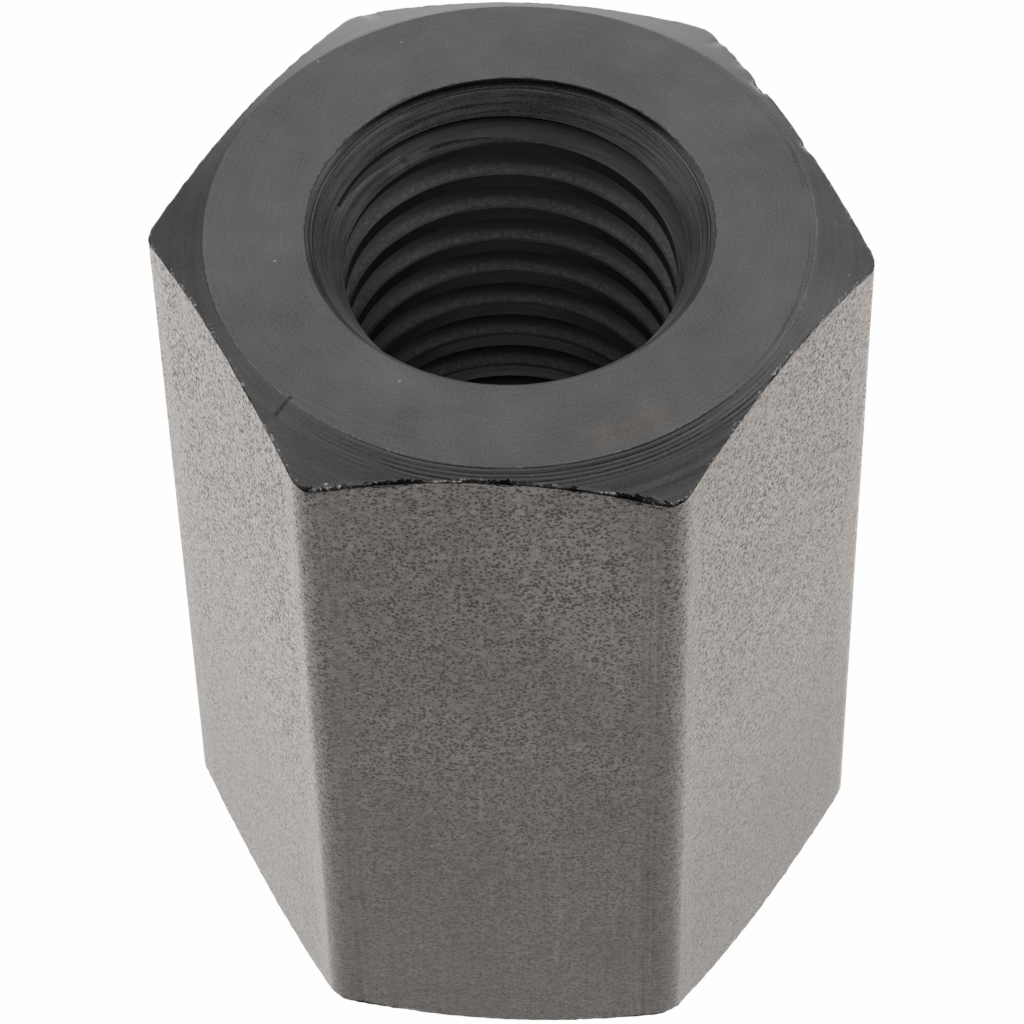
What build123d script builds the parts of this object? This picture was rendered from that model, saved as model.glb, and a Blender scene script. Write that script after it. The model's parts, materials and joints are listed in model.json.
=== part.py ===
from build123d import *
from math import asin, ceil, cos, radians, sin, sqrt, tan
import os

# Coupling nut: one piece of hexagonal steel bar, turned at both ends, with a thread right through it.
# Millimetres, +Z up. The origin is the middle of the lower end face, on the axis of the thread.
# Two flats face -Y and +Y, and two of the long edges point to -X and +X.

# Hexagonal bar
side_count = 6
across_flats = 31.75
nut_length = 48.0
edge_radius = 1.5

# Turned ends: the rim of each flat end face lies this far inside the flats, and slopes off outside it
rim_inset = 0.68
chamfer_angle = 30.0

# Thread. Its crests are the wall of the bore, and its depth is a share of a sharp V of the same pitch
thread_diameter = 19.05
thread_pitch = 2.54
flank_angle = 30.0
thread_depth_share = 0.525
root_flat_share = 0.125
thread_start = 40.0

# The groove between the crests rises in short straight steps. It is cut from inside the bore, past both ends
steps_per_turn = 24
groove_overlap = 0.25
turns_past_end = 2

# Mouth at each end: a small bevel at the rim, then a cone down to the crests of the thread
mouth_margin = 0.66
mouth_bevel = 0.4
mouth_cone_angle = 60.0

# Values worked out from those above
corner_radius = across_flats / 2 / cos(radians(180 / side_count))
rim_radius = across_flats / 2 - rim_inset
root_radius = thread_diameter / 2
sharp_depth = thread_pitch / 2 / tan(radians(flank_angle))
crest_radius = root_radius - thread_depth_share * sharp_depth
mouth_radius = root_radius + mouth_margin
root_half = thread_pitch * root_flat_share / 2
groove_radius = crest_radius - groove_overlap

# Each step of a flank is one flat face when its lines pass the axis at this distance, which turns its inner corners
flank_slope = tan(radians(flank_angle))
flank_offset = thread_pitch / steps_per_turn / 2 / tan(radians(180 / steps_per_turn)) / flank_slope
flank_turn = asin(flank_offset / groove_radius) - asin(flank_offset / root_radius)
flank_width = sqrt(root_radius**2 - flank_offset**2) - sqrt(groove_radius**2 - flank_offset**2)
groove_half = root_half + flank_width * flank_slope


def hexagonal_bar():
    """The drawn bar, with its rounded long edges."""
    section = RegularPolygon(across_flats / 2, side_count, major_radius=False)
    return extrude(fillet(section.vertices(), edge_radius), nut_length)


def turned_blank():
    """The round form that the chamfers of both ends belong to. They leave a curved edge on each flat."""
    drop = (corner_radius - rim_radius) * tan(radians(chamfer_angle))
    profile = Polyline(
        (0, 0),
        (rim_radius, 0),
        (corner_radius, drop),
        (corner_radius, nut_length - drop),
        (rim_radius, nut_length),
        (0, nut_length),
        close=True,
    )
    return revolve(make_face(Plane.XZ * profile), Axis.Z)


def thread_bore():
    """The round hole that the crests of the thread leave open."""
    return Cylinder(crest_radius, nut_length, align=(Align.CENTER, Align.CENTER, Align.MIN))


def groove_corners(step):
    """The four corners of the thread's groove, that many steps up its helix, from its lower inner one."""
    turns = step / steps_per_turn
    height = (turns - turns_past_end) * thread_pitch
    corners = []
    for radius, turn, lift in (
        (groove_radius, -flank_turn, -groove_half),
        (root_radius, 0, -root_half),
        (root_radius, 0, root_half),
        (groove_radius, flank_turn, groove_half),
    ):
        angle = radians(thread_start + 360 * turns) + turn
        corners.append((radius * cos(angle), radius * sin(angle), height + lift))
    return corners


def thread_groove():
    """The right-hand helical groove that the tap cuts, closed with flat faces all round."""
    last = steps_per_turn * (ceil(nut_length / thread_pitch) + 2 * turns_past_end)
    rings = [groove_corners(step) for step in range(last + 1)]
    outlines = []
    for a, b, c, d in (rings[0], rings[-1]):
        outlines += [(a, b, c), (c, d, a)]
    for (a, b, c, d), (e, f, g, h) in zip(rings, rings[1:]):
        outlines += [(a, b, f, e), (b, c, g, f), (c, d, h, g), (a, e, h), (h, d, a)]
    return Solid(Shell([Face(Wire.make_polygon(outline)) for outline in outlines]))


def lower_mouth():
    """The bevel and cone cut from the lower end, run on to a point on the axis."""
    cone_radius = mouth_radius - mouth_bevel
    cone_depth = cone_radius / tan(radians(mouth_cone_angle / 2))
    profile = Polyline(
        (0, 0),
        (mouth_radius, 0),
        (cone_radius, mouth_bevel),
        (0, mouth_bevel + cone_depth),
        close=True,
    )
    return revolve(make_face(Plane.XZ * profile), Axis.Z)


def upper_mouth():
    """The same cut at the upper end."""
    return Pos(0, 0, nut_length) * Rot(180, 0, 0) * lower_mouth()


def nut_body():
    """The finished nut."""
    blank = hexagonal_bar() & turned_blank()
    return blank - [thread_bore(), lower_mouth(), upper_mouth(), thread_groove()]


os.makedirs("parts", exist_ok=True)
export_step(nut_body(), "parts/nut_body.step")
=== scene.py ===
"""Coupling nut: a long hexagonal steel nut with turned ends and a right-hand thread right through."""

import json
import logging
import math
from dataclasses import dataclass
from enum import Enum
from typing import Any, Dict, List, Sequence, Tuple, Union

import bmesh
import bpy
import numpy as np
from mathutils import Matrix, Vector


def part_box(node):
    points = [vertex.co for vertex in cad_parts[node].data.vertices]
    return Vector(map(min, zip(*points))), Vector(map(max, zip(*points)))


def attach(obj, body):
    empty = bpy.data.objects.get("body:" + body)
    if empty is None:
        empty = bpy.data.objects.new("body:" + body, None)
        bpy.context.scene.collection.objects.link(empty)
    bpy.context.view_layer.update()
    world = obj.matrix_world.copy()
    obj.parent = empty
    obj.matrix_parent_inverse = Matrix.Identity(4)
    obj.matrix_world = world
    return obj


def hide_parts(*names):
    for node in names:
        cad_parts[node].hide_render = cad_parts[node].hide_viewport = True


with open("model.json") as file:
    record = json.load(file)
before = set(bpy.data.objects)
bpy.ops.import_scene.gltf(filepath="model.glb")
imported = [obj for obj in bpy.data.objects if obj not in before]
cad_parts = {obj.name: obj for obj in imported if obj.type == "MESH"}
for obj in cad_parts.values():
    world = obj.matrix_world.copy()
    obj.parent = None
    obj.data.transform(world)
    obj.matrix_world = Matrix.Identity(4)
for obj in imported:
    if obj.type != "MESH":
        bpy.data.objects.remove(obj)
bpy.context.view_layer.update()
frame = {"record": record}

MM = 0.001
BODY = "root"
NUT_NODE = "nut_body"

# How many millimetres above and below the edge of a chamfer the burr's finish reaches
EDGE_REACH = 2.0

# What is added before a whole share is rounded down, in the numbering of a grid's vertices
ROUNDING = 0.0005

# The angle of the front flat round the axis, in degrees
FRONT = 270

Colour = Tuple[float, float, float, float]
Point = Tuple[float, float, float]
Span = Tuple[float, float]

log = logging.getLogger("coupling_nut")


def grey(level: float, warmth: float = 0.0) -> Colour:
    """A grey of that linear level, a little warmer or cooler than neutral.

    Args:
        level: The linear level of its green part.
        warmth: The share by which red is raised and blue is lowered.

    Returns:
        The colour, with an alpha of 1.
    """
    return (level * (1 + warmth), level, level * (1 - warmth), 1.0)


class Signal:
    """The output of a node, which Python's operators work on by adding Math nodes."""

    def __init__(self, graph: "Graph", socket: bpy.types.NodeSocket) -> None:
        """Keeps the tree that the socket is in, and the socket.

        Args:
            graph: The tree that new nodes go into.
            socket: The output that is wrapped.
        """
        self.graph = graph
        self.socket = socket

    def _math(self, operation: str, first: "Number", second: "Number" = 0.0) -> "Signal":
        """Adds a Math node.

        Args:
            operation: The node's operation.
            first: The first number.
            second: The second number.

        Returns:
            The result.
        """
        return self.graph.node("ShaderNodeMath", {"operation": operation}, {0: first, 1: second})

    def __add__(self, other: "Number") -> "Signal":
        """The sum."""
        return self._math("ADD", self, other)

    def __radd__(self, other: "Number") -> "Signal":
        """The sum, with the number first."""
        return self._math("ADD", other, self)

    def __sub__(self, other: "Number") -> "Signal":
        """The difference."""
        return self._math("SUBTRACT", self, other)

    def __rsub__(self, other: "Number") -> "Signal":
        """The difference, with the number first."""
        return self._math("SUBTRACT", other, self)

    def __mul__(self, other: "Number") -> "Signal":
        """The product."""
        return self._math("MULTIPLY", self, other)

    def __rmul__(self, other: "Number") -> "Signal":
        """The product, with the number first."""
        return self._math("MULTIPLY", other, self)

    def __truediv__(self, other: "Number") -> "Signal":
        """The quotient."""
        return self._math("DIVIDE", self, other)

    def __rtruediv__(self, other: "Number") -> "Signal":
        """The quotient, with the number first."""
        return self._math("DIVIDE", other, self)

    def __abs__(self) -> "Signal":
        """The size without its sign."""
        return self._math("ABSOLUTE", self)

    def floor(self) -> "Signal":
        """The whole number below."""
        return self._math("FLOOR", self)

    def sine(self) -> "Signal":
        """The sine, from radians."""
        return self._math("SINE", self)

    def cosine(self) -> "Signal":
        """The cosine, from radians."""
        return self._math("COSINE", self)

    def above(self, edge: "Number") -> "Signal":
        """1 where the value is above the edge, else 0."""
        return self._math("GREATER_THAN", self, edge)

    def below(self, edge: "Number") -> "Signal":
        """1 where the value is below the edge, else 0."""
        return self._math("LESS_THAN", self, edge)

    def at_least(self, low: "Number") -> "Signal":
        """The larger of the two."""
        return self._math("MAXIMUM", self, low)

    def at_most(self, high: "Number") -> "Signal":
        """The smaller of the two."""
        return self._math("MINIMUM", self, high)

    def clamp(self) -> "Signal":
        """The value, kept between 0 and 1."""
        return self.graph.node("ShaderNodeClamp", {}, {0: self})

    def ramp(self, low: float, high: float, top: float = 1.0) -> "Signal":
        """A smooth step from 0 at the first value to the top at the second.

        Args:
            low: Where the step starts.
            high: Where it ends. It may be the lower of the two, for a step down.
            top: The value past its end.

        Returns:
            The step. It needs no clamp, as a smooth step never leaves its range.
        """
        settings = {"interpolation_type": "SMOOTHSTEP", "clamp": False}
        return self.graph.node("ShaderNodeMapRange", settings, {0: self, 1: low, 2: high, 4: top})


Number = Union[float, int, Signal]
Output = Union[int, str]
Links = Dict[Output, Any]


class Graph:
    """A node tree, of a material, the world or a geometry, that is written as expressions."""

    def __init__(self, tree: bpy.types.NodeTree) -> None:
        """Keeps the tree.

        Args:
            tree: The tree that nodes go into.
        """
        self.tree = tree

    def node(self, kind: str, settings: Dict[str, Any], links: Links, output: Output = 0) -> Signal:
        """Adds any node.

        Args:
            kind: The node's type.
            settings: The node's own properties, which are set first.
            links: What goes into its sockets: a number, colour or vector, or a Signal.
            output: Which of its outputs is wanted.

        Returns:
            That output.
        """
        made = self.tree.nodes.new(kind)
        for name, value in settings.items():
            setattr(made, name, value)
        for name, value in links.items():
            if isinstance(value, Signal):
                self.tree.links.new(value.socket, made.inputs[name])
            else:
                made.inputs[name].default_value = value
        return Signal(self, made.outputs[output])

    def other(self, signal: Signal, output: Output) -> Signal:
        """Another output of the node that a signal comes from."""
        return Signal(self, signal.socket.node.outputs[output])

    def vector_math(self, operation: str, vectors: Sequence[Any], output: Output = 0) -> Signal:
        """Adds a Vector Math node.

        Args:
            operation: The node's operation.
            vectors: The one or two vectors that it works on.
            output: Value, where the result is a number.

        Returns:
            The result.
        """
        return self.node("ShaderNodeVectorMath", {"operation": operation}, dict(enumerate(vectors)), output)

    def value(self, attribute: str) -> Signal:
        """A number that the mesh holds for each vertex."""
        return self.node("ShaderNodeAttribute", {"attribute_name": attribute}, {}, "Fac")

    def vector(self, x: Number, y: Number, z: Number) -> Signal:
        """A vector of three numbers."""
        return self.node("ShaderNodeCombineXYZ", {}, {0: x, 1: y, 2: z})

    def split(self, vector: Signal) -> Tuple[Signal, Signal, Signal]:
        """The three numbers of a vector."""
        parts = self.node("ShaderNodeSeparateXYZ", {}, {0: vector})
        return parts, self.other(parts, 1), self.other(parts, 2)

    def product(self, vector: Signal, factors: Point) -> Signal:
        """A vector times three numbers."""
        return self.vector_math("MULTIPLY", (vector, factors))

    def length(self, vector: Signal) -> Signal:
        """The length of a vector."""
        return self.vector_math("LENGTH", (vector,), "Value")

    def blend(self, factor: Number, first: Any, second: Any) -> Signal:
        """The first colour where the factor is 0, the second where it is 1.

        Args:
            factor: The share of the second colour.
            first: A colour or a Signal.
            second: A colour or a Signal.

        Returns:
            The mixed colour.
        """
        return self.node("ShaderNodeMix", {"data_type": "RGBA"}, {0: factor, 6: first, 7: second}, 2)

    def scale(self, vector: Any, factor: Number) -> Signal:
        """A vector or colour times a number."""
        return self.node("ShaderNodeVectorMath", {"operation": "SCALE"}, {0: vector, "Scale": factor})

    def noise(self, vector: Signal, scale: float, detail: float = 2.0, roughness: float = 0.5) -> Signal:
        """Smooth noise from 0 to 1, with a mean of a half.

        Args:
            vector: Where the noise is read.
            scale: How many waves a unit holds.
            detail: How many finer layers are added.
            roughness: How strong each finer layer is.

        Returns:
            The noise.
        """
        links = {"Vector": vector, "Scale": scale, "Detail": detail, "Roughness": roughness}
        return self.node("ShaderNodeTexNoise", {}, links)

    def cells(self, vector: Signal, scale: float) -> Signal:
        """The distance to the nearest of some scattered points, that many to a unit."""
        return self.node("ShaderNodeTexVoronoi", {}, {"Vector": vector, "Scale": scale}, "Distance")


@dataclass(frozen=True)
class NutSizes:
    """The nut's sizes in millimetres. The bar's own come from the frame."""

    across_flats: float
    length: float
    crest_radius: float
    edge_radius: float = 1.5
    rim_inset: float = 0.68
    chamfer_angle: float = 30.0
    thread_diameter: float = 19.05
    pitch: float = 2.54
    flank_angle: float = 30.0
    start_angle: float = 40.0
    mouth_margin: float = 0.66
    mouth_bevel: float = 0.4
    mouth_half_angle: float = 30.0

    @property
    def apothem(self) -> float:
        """From the axis to a flat."""
        return self.across_flats / 2

    @property
    def rim_radius(self) -> float:
        """The radius at which an end face meets its chamfer."""
        return self.apothem - self.rim_inset

    @property
    def mouth_radius(self) -> float:
        """The radius at which an end face meets its mouth."""
        return self.thread_diameter / 2 + self.mouth_margin

    @property
    def chamfer_slope(self) -> float:
        """How far the chamfer drops for each millimetre of radius."""
        return math.tan(math.radians(self.chamfer_angle))

    def hexagon_radius(self, angle: np.ndarray) -> np.ndarray:
        """The radius of the bar's outline at an angle round the axis.

        Args:
            angle: Angles in radians. A long edge lies at 0.

        Returns:
            The radii, rounded at the long edges.
        """
        sixth = math.pi / 3
        off_edge = np.abs((angle + sixth / 2) % sixth - sixth / 2)
        centre = (self.apothem - self.edge_radius) / math.cos(sixth / 2)
        touch = math.atan2(self.edge_radius / 2, centre + self.edge_radius * math.cos(sixth / 2))
        flat = self.apothem / np.cos(sixth / 2 - off_edge)
        chord = self.edge_radius**2 - (centre * np.sin(off_edge)) ** 2
        arc = centre * np.cos(off_edge) + np.sqrt(np.maximum(chord, 0.0))
        return np.where(off_edge > touch, flat, arc)

    def edge_gap(self, angle: np.ndarray) -> np.ndarray:
        """How far a point of a flat lies from the nearest long edge.

        Args:
            angle: Angles in radians.

        Returns:
            The distances along the flat.
        """
        sixth = math.pi / 3
        off_middle = np.abs(angle % sixth - sixth / 2)
        return self.apothem * (math.tan(sixth / 2) - np.tan(off_middle))


def sizes_from_frame() -> NutSizes:
    """Reads the sizes of the bar and the bore from the frame.

    Returns:
        All the sizes.
    """
    low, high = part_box(NUT_NODE)
    bore = next(m for m in frame["record"]["mounts"] if m["name"] == "thread_upper")
    return NutSizes((high.y - low.y) / MM, (high.z - low.z) / MM, bore["dims"]["r_mm"])


@dataclass(frozen=True)
class Columns:
    """The lines of vertices that run up the nut, closer together at the long edges."""

    count: int = 600
    crowding: float = 0.45
    bore_share: int = 4

    @property
    def bore_count(self) -> int:
        """How many of the columns go on into the bore."""
        return self.count // self.bore_share

    def angles(self) -> np.ndarray:
        """The angle of each column, in radians."""
        even = np.arange(self.count) * 2 * math.pi / self.count
        return even - self.crowding / 6 * np.sin(6 * even)


def ripple(angle: np.ndarray, seed: int, lowest: int, highest: int) -> np.ndarray:
    """Random waves round the nut, the same each run.

    Args:
        angle: Angles in radians.
        seed: Which random waves.
        lowest: The fewest waves in a turn.
        highest: The most waves in a turn.

    Returns:
        The waves, about 1 high at most.
    """
    random = np.random.default_rng(seed)
    waves = np.arange(lowest, highest + 1)
    phases = random.uniform(0, 2 * math.pi, len(waves))
    heights = random.uniform(0.3, 1.0, len(waves)) / math.sqrt(len(waves))
    return np.sum(heights[:, None] * np.cos(waves[:, None] * angle[None, :] + phases[:, None]), axis=0)


@dataclass(frozen=True)
class Chip:
    """A place where an edge of the upper end was knocked or torn away."""

    angle: float
    width: float
    depth: float
    drop: float

    def bite(self, degrees: np.ndarray) -> np.ndarray:
        """How much of the chip each column holds, from 0 to 1.

        Args:
            degrees: The angle of each column.

        Returns:
            The shares.
        """
        off = (degrees - self.angle + 180) % 360 - 180
        return np.exp(-((off / self.width) ** 4))


class Part(Enum):
    """The regions of the nut that have a finish of their own. A value is a material slot."""

    FLATS = 0
    TURNED = 1
    THREAD = 2


@dataclass
class OuterSkin:
    """Everything but the bore: the flats, the chamfers and the two end faces."""

    sizes: NutSizes
    columns: Columns
    face_steps: Sequence[float] = (0.03, 0.15, 0.38, 0.62, 0.84, 0.97)
    chamfer_steps: Sequence[float] = (0.12, 0.3, 0.5, 0.7, 0.85, 0.94)
    wall_steps: Sequence[float] = (0.14, 0.26, 0.45, 0.8, 1.4)
    wall_rows: int = 20
    rim_round: float = 0.03
    edge_round: float = 0.045
    edge_roughness: float = 0.014
    edge_waviness: float = 0.035
    wall_waviness: float = 0.008
    burr_height: float = 0.06
    lower_burr: float = 0.4
    front_half: float = 31.0
    burr_ends: Sequence[Span] = ((-26.0, 4.5), (25.5, 3.0))
    rim_profile: Sequence[Span] = ((-1.0, 0.0), (0.0, 0.28), (1.0, 1.0))
    chip_rows: int = 6
    burr_seeds: Tuple[int, int] = (31, 11)
    rough_seeds: Tuple[int, int] = (41, 21)
    wall_seed: int = 71
    chips: Sequence[Chip] = (
        Chip(41.6, 2.0, 0.27, 0.16),
        Chip(24.4, 1.3, 0.14, 0.08),
        Chip(55.6, 1.1, 0.09, 0.05),
        Chip(48.5, 1.5, 0.06, 0.03),
        Chip(118.0, 1.2, 0.10, 0.05),
        Chip(228.5, 0.5, 0.05, 0.03),
    )

    def end_rows(self, burr: np.ndarray) -> Tuple[np.ndarray, np.ndarray]:
        """The rows from the mouth's rim to a little way down the flats, with depths from the end face.

        Args:
            burr: The burr's strength at each column, from 0 to 1.

        Returns:
            The radii and the depths, each with a row for each ring and a column for each angle.
        """
        s = self.sizes
        angle = self.columns.angles()
        outer = s.hexagon_radius(angle)
        ones = np.ones_like(angle)
        width = s.rim_radius - s.mouth_radius
        radii = [ones * (s.mouth_radius + width * step) for step in self.face_steps]
        depths = [ones * 0.0 for _ in self.face_steps]
        for offset, share in self.rim_profile:
            radii.append(ones * (s.rim_radius + offset * self.rim_round))
            depths.append(ones * self.rim_round * s.chamfer_slope * share)
        start = s.rim_radius + self.rim_round
        edge_out = outer - self.edge_round
        for step in self.chamfer_steps:
            radii.append(start + (edge_out - start) * step)
            depths.append((radii[-1] - s.rim_radius) * s.chamfer_slope)
        lip = self.burr_height * burr
        edge_depth = (outer - s.rim_radius) * s.chamfer_slope
        radii += [edge_out, outer - 0.3 * self.edge_round + 0.7 * lip, outer + lip, outer + 0.25 * lip]
        depths += [
            edge_depth - self.edge_round * s.chamfer_slope - 0.6 * lip,
            edge_depth - 0.05 * self.edge_round,
            edge_depth + self.edge_round,
            edge_depth + 2 * self.edge_round + lip,
        ]
        for step in self.wall_steps:
            radii.append(outer.copy())
            depths.append(edge_depth + step)
        return np.array(radii), np.array(depths)

    def edge_row(self) -> int:
        """The number of the row that runs along the edge between a chamfer and the flats."""
        return len(self.face_steps) + len(self.rim_profile) + len(self.chamfer_steps) + 1

    def roughen(self, radii: np.ndarray, depths: np.ndarray, seed: int, chips: Sequence[Chip]) -> None:
        """Makes the edge of an end uneven, and knocks out its chips.

        Args:
            radii: The radii of the rows of that end, which are changed.
            depths: Their depths, which are changed.
            seed: Which random unevenness.
            chips: The chips of that end.
        """
        angle = self.columns.angles()
        degrees = np.degrees(angle)
        edge = self.edge_row()
        rough = self.edge_roughness * ripple(angle, seed, 60, 280)
        rough -= self.edge_waviness * np.abs(ripple(angle, seed + 3, 22, 60))
        for row, share in ((edge - 1, 0.5), (edge, 1.0), (edge + 1, 1.0), (edge + 2, 0.4)):
            radii[row] += rough * share
            depths[row] += 0.8 * self.edge_roughness * share * ripple(angle, seed + 1, 60, 280)
        for chip in chips:
            bite = chip.bite(degrees) * (1 + 0.35 * ripple(angle, seed + 2, 90, 260))
            reach = np.linspace(1.0, 0.0, self.chip_rows)
            for row in range(edge - self.chip_rows + 2, edge + self.chip_rows):
                share = reach[min(abs(row - edge), self.chip_rows - 1)]
                radii[row] -= chip.depth * bite * share
                depths[row] += chip.drop * bite * share * (row <= edge)

    def burr_strength(self, seed: int) -> np.ndarray:
        """How strongly the edge is burred at each column: most on the front flat, above all at its two ends.

        Args:
            seed: Which random unevenness.

        Returns:
            The strengths.
        """
        angle = self.columns.angles()
        off_front = (np.degrees(angle) - FRONT + 180) % 360 - 180
        front = np.clip((self.front_half - np.abs(off_front)) / 2, 0, 1)
        ends = sum(np.exp(-((off_front - place) / width) ** 2) for place, width in self.burr_ends)
        return np.clip(0.22 + 0.14 * ripple(angle, seed, 5, 40) + 0.6 * front + 0.9 * ends, 0, 1.8)

    def grid(self) -> Tuple[np.ndarray, np.ndarray, np.ndarray, np.ndarray]:
        """All rings from the lower mouth's rim to the upper one's, with a column for each angle.

        Returns:
            The radii, the heights, the burr's strength, and how near in height each point is to the edge.
        """
        angle = self.columns.angles()
        low_burr = self.lower_burr * self.burr_strength(self.burr_seeds[0])
        high_burr = self.burr_strength(self.burr_seeds[1])
        low_radii, low_depths = self.end_rows(low_burr)
        high_radii, high_depths = self.end_rows(high_burr)
        self.roughen(low_radii, low_depths, self.rough_seeds[0], ())
        self.roughen(high_radii, high_depths, self.rough_seeds[1], self.chips)
        high_heights = self.sizes.length - high_depths
        outer = self.sizes.hexagon_radius(angle)
        edge_depth = (outer - self.sizes.rim_radius) * self.sizes.chamfer_slope
        shares = np.linspace(0, 1, self.wall_rows + 2)[1:-1, None]
        wall_heights = low_depths[-1] + (high_heights[-1] - low_depths[-1]) * shares
        wall_radii = np.repeat(outer[None, :], self.wall_rows, axis=0)
        for row in range(self.wall_rows):
            wall_radii[row] -= self.wall_waviness * (1 + ripple(angle, self.wall_seed + row // 4, 3, 30)) / 2
        radii = np.concatenate([low_radii, wall_radii, high_radii[::-1]])
        heights = np.concatenate([low_depths, wall_heights, high_heights[::-1]])
        nearness = EDGE_REACH - np.abs(np.minimum(heights, self.sizes.length - heights) - edge_depth)
        upper = heights > self.sizes.length / 2
        return radii, heights, np.where(upper, high_burr, low_burr), np.maximum(nearness, 0.0)

    def build(self) -> bpy.types.Mesh:
        """Makes the mesh, open at the two rims of the bore.

        Returns:
            The mesh, with its material indices and the attributes that the finishes read.
        """
        radii, heights, burr, nearness = self.grid()
        rows, around = radii.shape
        angle = self.columns.angles()
        skip = self.columns.bore_share
        points = np.stack([radii * np.cos(angle), radii * np.sin(angle), heights], axis=2).reshape(-1, 3)
        rim = self.sizes.mouth_radius
        rim_angle = angle[::skip]
        rings = []
        for height in (0.0, self.sizes.length):
            ring = [rim * np.cos(rim_angle), rim * np.sin(rim_angle), np.full_like(rim_angle, height)]
            rings.append(np.stack(ring, axis=1))
        points = np.concatenate([points] + rings)
        faces: List[Tuple[int, ...]] = []
        parts: List[int] = []
        edge = self.edge_row()
        for row in range(rows - 1):
            flat = edge <= row < rows - 1 - edge
            for column in range(around):
                after = (column + 1) % around
                faces.append((row * around + column, row * around + after,
                              (row + 1) * around + after, (row + 1) * around + column))
                parts.append((Part.FLATS if flat else Part.TURNED).value)
        faces += self.rim_faces(rows * around, 0, False)
        faces += self.rim_faces(rows * around + around // skip, (rows - 1) * around, True)
        parts += [Part.TURNED.value] * (len(faces) - len(parts))
        mesh = bpy.data.meshes.new("outer_skin")
        mesh.from_pydata((points * MM).tolist(), [], faces)
        mesh.polygons.foreach_set("material_index", parts)
        gap = np.repeat(self.sizes.edge_gap(angle)[None, :], rows, axis=0).ravel()
        for name, values in (("edge_gap", gap), ("burr", burr.ravel()), ("nearness", nearness.ravel())):
            self.add_values(mesh, name, np.concatenate([values, np.zeros(2 * around // skip)]))
        return mesh

    def rim_faces(self, rim_start: int, row_start: int, upper: bool) -> List[Tuple[int, ...]]:
        """The faces between a rim of the bore, which has fewer vertices, and the first row of an end face.

        Args:
            rim_start: The number of the rim's first vertex.
            row_start: The number of the row's first vertex.
            upper: Whether it is the upper end.

        Returns:
            The faces.
        """
        around = self.columns.count
        skip = self.columns.bore_share
        faces: List[Tuple[int, ...]] = []
        for place in range(around // skip):
            here = rim_start + place
            after = rim_start + (place + 1) % (around // skip)
            outer = [row_start + (place * skip + k) % around for k in range(skip + 1)]
            fan = [(here, outer[k], outer[k + 1]) for k in range(skip // 2)]
            fan.append((here, outer[skip // 2], after))
            fan += [(after, outer[k], outer[k + 1]) for k in range(skip // 2, skip)]
            faces += fan if upper else [face[::-1] for face in fan]
        return faces

    @staticmethod
    def add_values(mesh: bpy.types.Mesh, name: str, values: np.ndarray) -> None:
        """Stores one number for each vertex.

        Args:
            mesh: The mesh.
            name: The attribute's name.
            values: The numbers.
        """
        mesh.attributes.new(name, "FLOAT", "POINT").data.foreach_set("value", values.astype(np.float32))


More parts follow.
